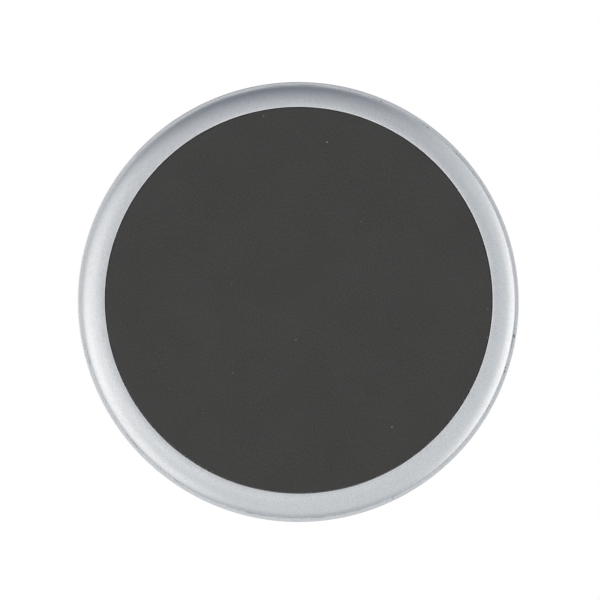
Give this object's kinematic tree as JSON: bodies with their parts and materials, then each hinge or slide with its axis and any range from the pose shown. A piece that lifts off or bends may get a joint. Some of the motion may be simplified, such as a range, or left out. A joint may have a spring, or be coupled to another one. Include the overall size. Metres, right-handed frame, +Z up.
{
  "type": "security tag detacher",
  "caption": "Round counter-top magnetic detacher for hard tags: satin aluminium case with a dished top and a black funnel cup, on a base plate with a flush non-slip rubber pad.",
  "frame": {"origin": "centre of the rubber pad's underside, where the detacher stands on the counter", "axes": "+Z up along the case's axis, out of the tag cup; X and Y in the counter's plane"},
  "size_m": [0.07, 0.07, 0.038],
  "materials": {
    "pad_rubber": "matt charcoal non-slip rubber",
    "adhesive_film": "double-sided adhesive film",
    "satin_aluminium": "bead-blasted satin, clear anodised",
    "zinc_steel": "zinc-plated mild steel",
    "cushion_rubber": "soft black rubber",
    "nickel_magnet": "nickel-plated sintered magnet",
    "cage_nylon": "natural glass-filled nylon",
    "stainless_steel": "brushed stainless steel",
    "black_acetal": "turned black acetal"
  },
  "bodies": {
    "root": {"base_pad": "pad_rubber", "pad_adhesive": "adhesive_film", "base_plate": "satin_aluminium", "base_screws": "zinc_steel", "case": "satin_aluminium", "cushion_disc": "cushion_rubber", "yoke_cup": "zinc_steel", "core_magnet": "nickel_magnet", "magnet_cage": "cage_nylon", "pole_tip": "zinc_steel", "keeper_plate": "stainless_steel", "wear_disc": "stainless_steel", "cup_insert": "black_acetal", "ring_magnet_1": "nickel_magnet", "ring_magnet_2": "nickel_magnet", "ring_magnet_3": "nickel_magnet", "ring_magnet_4": "nickel_magnet", "ring_magnet_5": "nickel_magnet", "ring_magnet_6": "nickel_magnet", "ring_magnet_7": "nickel_magnet", "ring_magnet_8": "nickel_magnet"}
  },
  "joints": []
}
